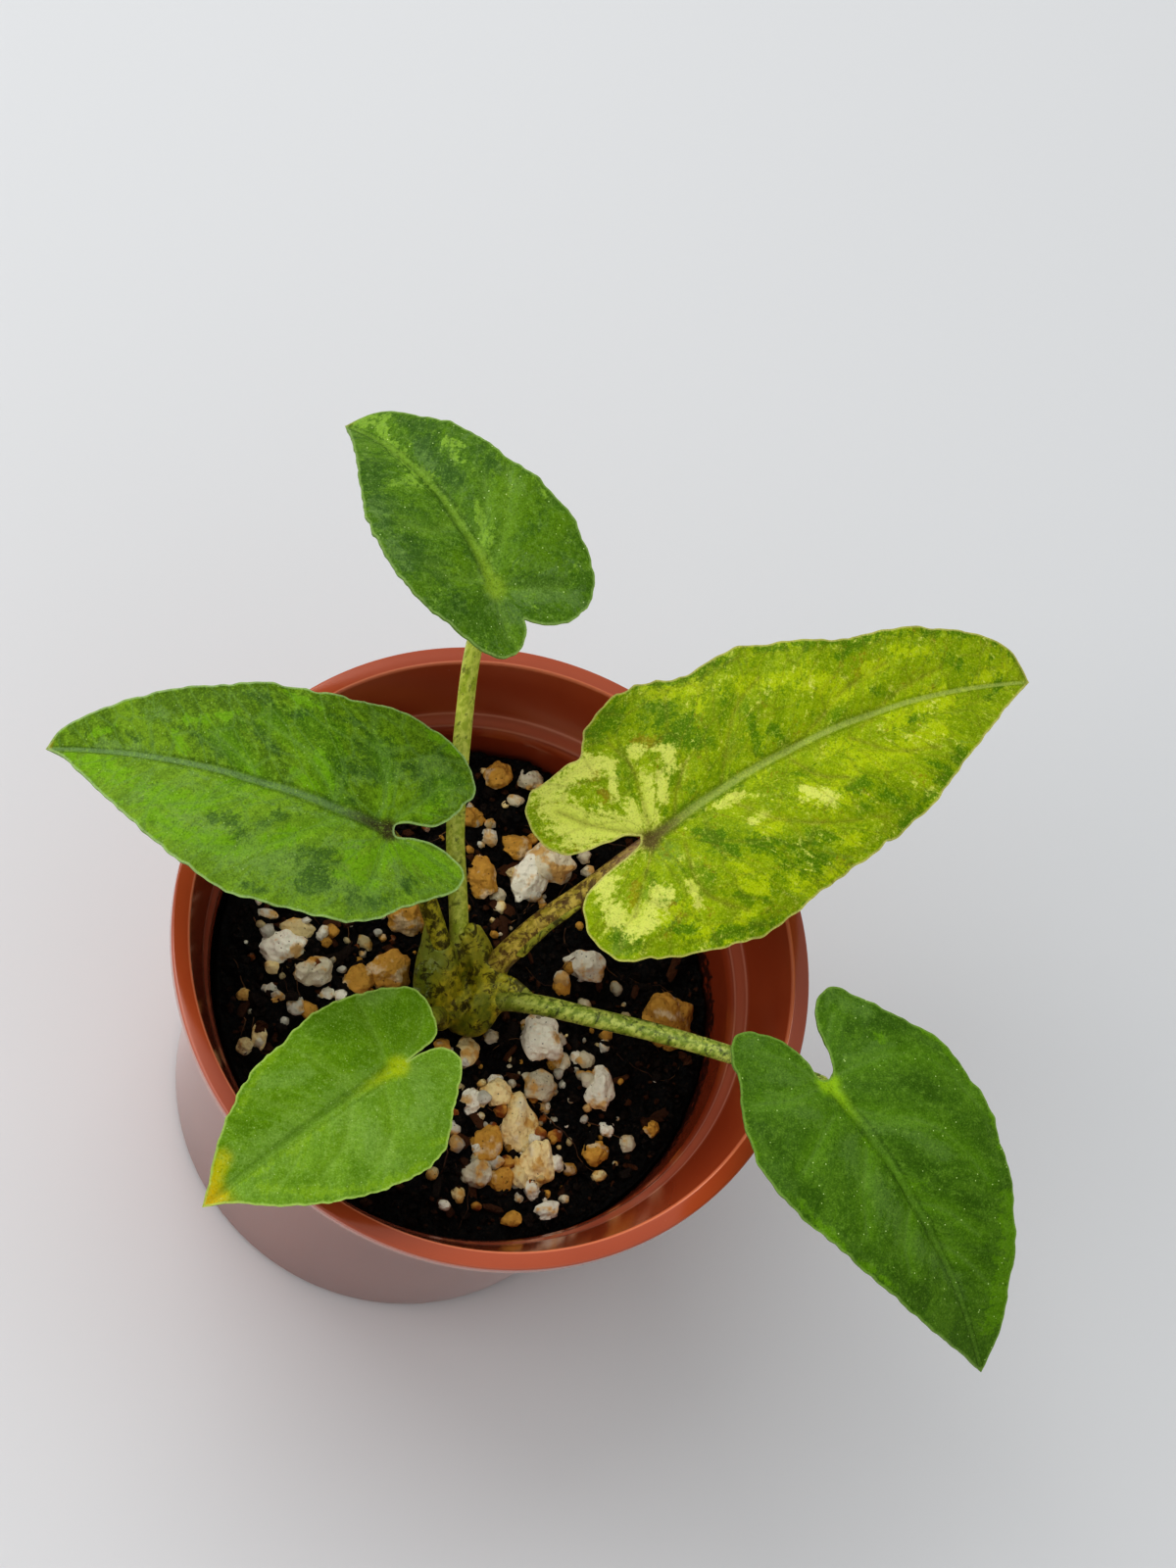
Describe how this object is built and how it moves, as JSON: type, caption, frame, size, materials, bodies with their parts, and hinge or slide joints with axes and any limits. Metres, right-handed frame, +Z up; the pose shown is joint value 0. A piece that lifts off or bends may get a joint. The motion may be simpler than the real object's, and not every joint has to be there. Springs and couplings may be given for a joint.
{
  "type": "potted foliage plant",
  "caption": "Young potted alocasia with arrowhead leaves, one of them yellow variegated, in a small round terracotta coloured nursery pot of potting mix.",
  "frame": {"origin": "centre of the pot's flat underside, on the pot's axis", "axes": "+Z up along the pot's axis, +X to the right and +Y to the back, with the largest leaf at the right and back"},
  "size_m": [0.1197, 0.1019, 0.1038],
  "materials": {
    "pot_plastic": "glossy terracotta coloured plastic",
    "mix": "moist dark peat and bark with pale mineral chips",
    "crown_tissue": "semi-matt olive green with brown mottles",
    "stalk_tissue": "satin pale green with brown flecks",
    "leaf_green": "satin green with darker and paler patches",
    "leaf_variegated": "satin yellow and lime with green blotches"
  },
  "bodies": {
    "root": {"pot": "pot_plastic", "potting_mix": "mix", "crown": "crown_tissue", "stalk_back": "stalk_tissue", "stalk_left": "stalk_tissue", "stalk_right": "stalk_tissue", "stalk_front_right": "stalk_tissue", "stalk_front_left": "stalk_tissue", "leaf_back": "leaf_green", "leaf_left": "leaf_green", "leaf_right": "leaf_variegated", "leaf_front_right": "leaf_green", "leaf_front_left": "leaf_green"}
  },
  "joints": []
}
